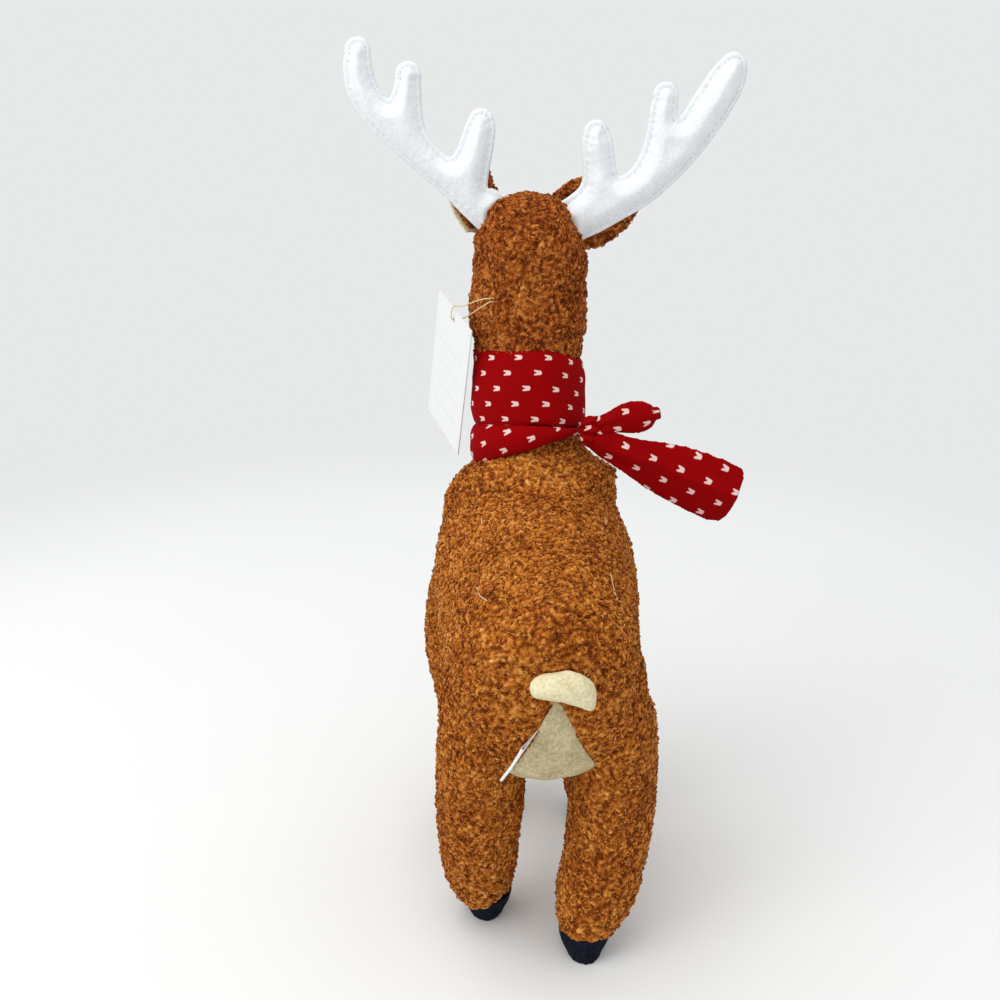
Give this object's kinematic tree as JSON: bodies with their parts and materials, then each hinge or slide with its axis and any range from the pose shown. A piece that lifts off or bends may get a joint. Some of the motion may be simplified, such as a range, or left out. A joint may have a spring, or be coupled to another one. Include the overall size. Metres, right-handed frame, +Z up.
{
  "type": "plush deer",
  "caption": "Standing plush toy deer with stuffed felt antlers, soft ears, a knotted jersey scarf, a felt tail, a hang tag on a thread and a sewn label.",
  "frame": {"origin": "middle of the toy's bounding box, at the ground under the hooves, without the hang tag and its thread", "axes": "+Z up, -Y the way the deer faces, +X the deer's own left"},
  "size_m": [0.187, 0.2419, 0.4012],
  "materials": {
    "belly_gusset": "felt",
    "care_label": "woven ribbon",
    "hang_tag": "smooth card",
    "head_filling": "loose fibre",
    "head_skin": "curly plush",
    "left_antler_back_felt": "felt",
    "left_antler_filling": "loose fibre",
    "left_antler_front_felt": "felt",
    "left_body_side": "curly plush",
    "left_ear": "curly plush",
    "left_ear_lining": "felt",
    "left_eye": "polished",
    "left_eye_washer": "moulded",
    "left_front_hoof": "felt",
    "left_front_leg_filling": "loose fibre",
    "left_front_leg_skin": "curly plush",
    "left_hind_hoof": "felt",
    "left_hind_leg_filling": "loose fibre",
    "left_hind_leg_skin": "curly plush",
    "neck_filling": "loose fibre",
    "neck_skin": "curly plush",
    "nose": "polished",
    "right_antler_back_felt": "felt",
    "right_antler_filling": "loose fibre",
    "right_antler_front_felt": "felt",
    "right_body_side": "curly plush",
    "right_ear": "curly plush",
    "right_ear_lining": "felt",
    "right_eye": "polished",
    "right_eye_washer": "moulded",
    "right_front_hoof": "felt",
    "right_front_leg_filling": "loose fibre",
    "right_front_leg_skin": "curly plush",
    "right_hind_hoof": "felt",
    "right_hind_leg_filling": "loose fibre",
    "right_hind_leg_skin": "curly plush",
    "scarf_band": "knitted jersey",
    "scarf_knot": "knitted jersey",
    "scarf_long_tail": "knitted jersey",
    "scarf_short_tail": "knitted jersey",
    "tag_string": "spun thread",
    "tail": "felt",
    "torso_filling": "loose fibre"
  },
  "bodies": {
    "toy": {"belly_gusset": "belly_gusset", "head_filling": "head_filling", "head_skin": "head_skin", "left_body_side": "left_body_side", "left_eye": "left_eye", "left_eye_washer": "left_eye_washer", "left_front_hoof": "left_front_hoof", "left_front_leg_filling": "left_front_leg_filling", "left_front_leg_skin": "left_front_leg_skin", "left_hind_hoof": "left_hind_hoof", "left_hind_leg_filling": "left_hind_leg_filling", "left_hind_leg_skin": "left_hind_leg_skin", "neck_filling": "neck_filling", "neck_skin": "neck_skin", "nose": "nose", "right_body_side": "right_body_side", "right_eye": "right_eye", "right_eye_washer": "right_eye_washer", "right_front_hoof": "right_front_hoof", "right_front_leg_filling": "right_front_leg_filling", "right_front_leg_skin": "right_front_leg_skin", "right_hind_hoof": "right_hind_hoof", "right_hind_leg_filling": "right_hind_leg_filling", "right_hind_leg_skin": "right_hind_leg_skin", "torso_filling": "torso_filling"},
    "scarf": {"scarf_band": "scarf_band", "scarf_knot": "scarf_knot"},
    "short_tail": {"scarf_short_tail": "scarf_short_tail"},
    "long_tail": {"scarf_long_tail": "scarf_long_tail"},
    "tag": {"hang_tag": "hang_tag", "tag_string": "tag_string"},
    "left_antler": {"left_antler_back_felt": "left_antler_back_felt", "left_antler_filling": "left_antler_filling", "left_antler_front_felt": "left_antler_front_felt"},
    "right_antler": {"right_antler_back_felt": "right_antler_back_felt", "right_antler_filling": "right_antler_filling", "right_antler_front_felt": "right_antler_front_felt"},
    "left_ear_flap": {"left_ear": "left_ear", "left_ear_lining": "left_ear_lining"},
    "right_ear_flap": {"right_ear": "right_ear", "right_ear_lining": "right_ear_lining"},
    "tail_roll": {"tail": "tail"},
    "label": {"care_label": "care_label"}
  },
  "joints": [
    {"name": "scarf_turn", "type": "hinge", "parent": "toy", "child": "scarf", "pos_m": [0.009, -0.0205, 0.175], "axis": [0, -0.2419, 0.9703], "range_deg": [-10, 10]},
    {"name": "short_tail_sway", "type": "hinge", "parent": "scarf", "child": "short_tail", "pos_m": [-0.01912, -0.00937, 0.22497], "axis": [0, 0, 1], "range_deg": [-12, 12], "stiffness_Nm_per_rad": 0.004},
    {"name": "long_tail_sway", "type": "hinge", "parent": "scarf", "child": "long_tail", "pos_m": [-0.01912, -0.00937, 0.22497], "axis": [0, 0, 1], "range_deg": [-12, 12], "stiffness_Nm_per_rad": 0.01},
    {"name": "tag_swing", "type": "hinge", "parent": "toy", "child": "tag", "pos_m": [0.0265, -0.0245, 0.2858], "axis": [0.36, -0.933, 0], "range_deg": [0, 70]},
    {"name": "left_antler_bend", "type": "hinge", "parent": "toy", "child": "left_antler", "pos_m": [0.0255, -0.045, 0.3205], "axis": [-0.4871, 0, 0.8733], "range_deg": [-4, 16], "stiffness_Nm_per_rad": 0.05},
    {"name": "right_antler_bend", "type": "hinge", "parent": "toy", "child": "right_antler", "pos_m": [-0.0082, -0.045, 0.3165], "axis": [-0.3642, 0, -0.9313], "range_deg": [-4, 16], "stiffness_Nm_per_rad": 0.05},
    {"name": "left_ear_flop", "type": "hinge", "parent": "toy", "child": "left_ear_flap", "pos_m": [0.03164, -0.06152, 0.31507], "axis": [0.7998, 0.5872, 0.1245], "range_deg": [-4, 20], "stiffness_Nm_per_rad": 0.005},
    {"name": "right_ear_flop", "type": "hinge", "parent": "toy", "child": "right_ear_flap", "pos_m": [-0.01133, -0.0636, 0.31704], "axis": [0.3746, 0, 0.9272], "range_deg": [-4, 20], "stiffness_Nm_per_rad": 0.005},
    {"name": "tail_lift", "type": "hinge", "parent": "toy", "child": "tail_roll", "pos_m": [0.002, 0.10768, 0.1594], "axis": [0.9744, 0, 0.225], "range_deg": [0, 25], "stiffness_Nm_per_rad": 0.002},
    {"name": "label_fold", "type": "hinge", "parent": "toy", "child": "label", "pos_m": [0.01265, 0.10786, 0.131], "axis": [-0.4031, 0.2729, 0.8735], "range_deg": [-15, 15], "stiffness_Nm_per_rad": 0.0002}
  ]
}
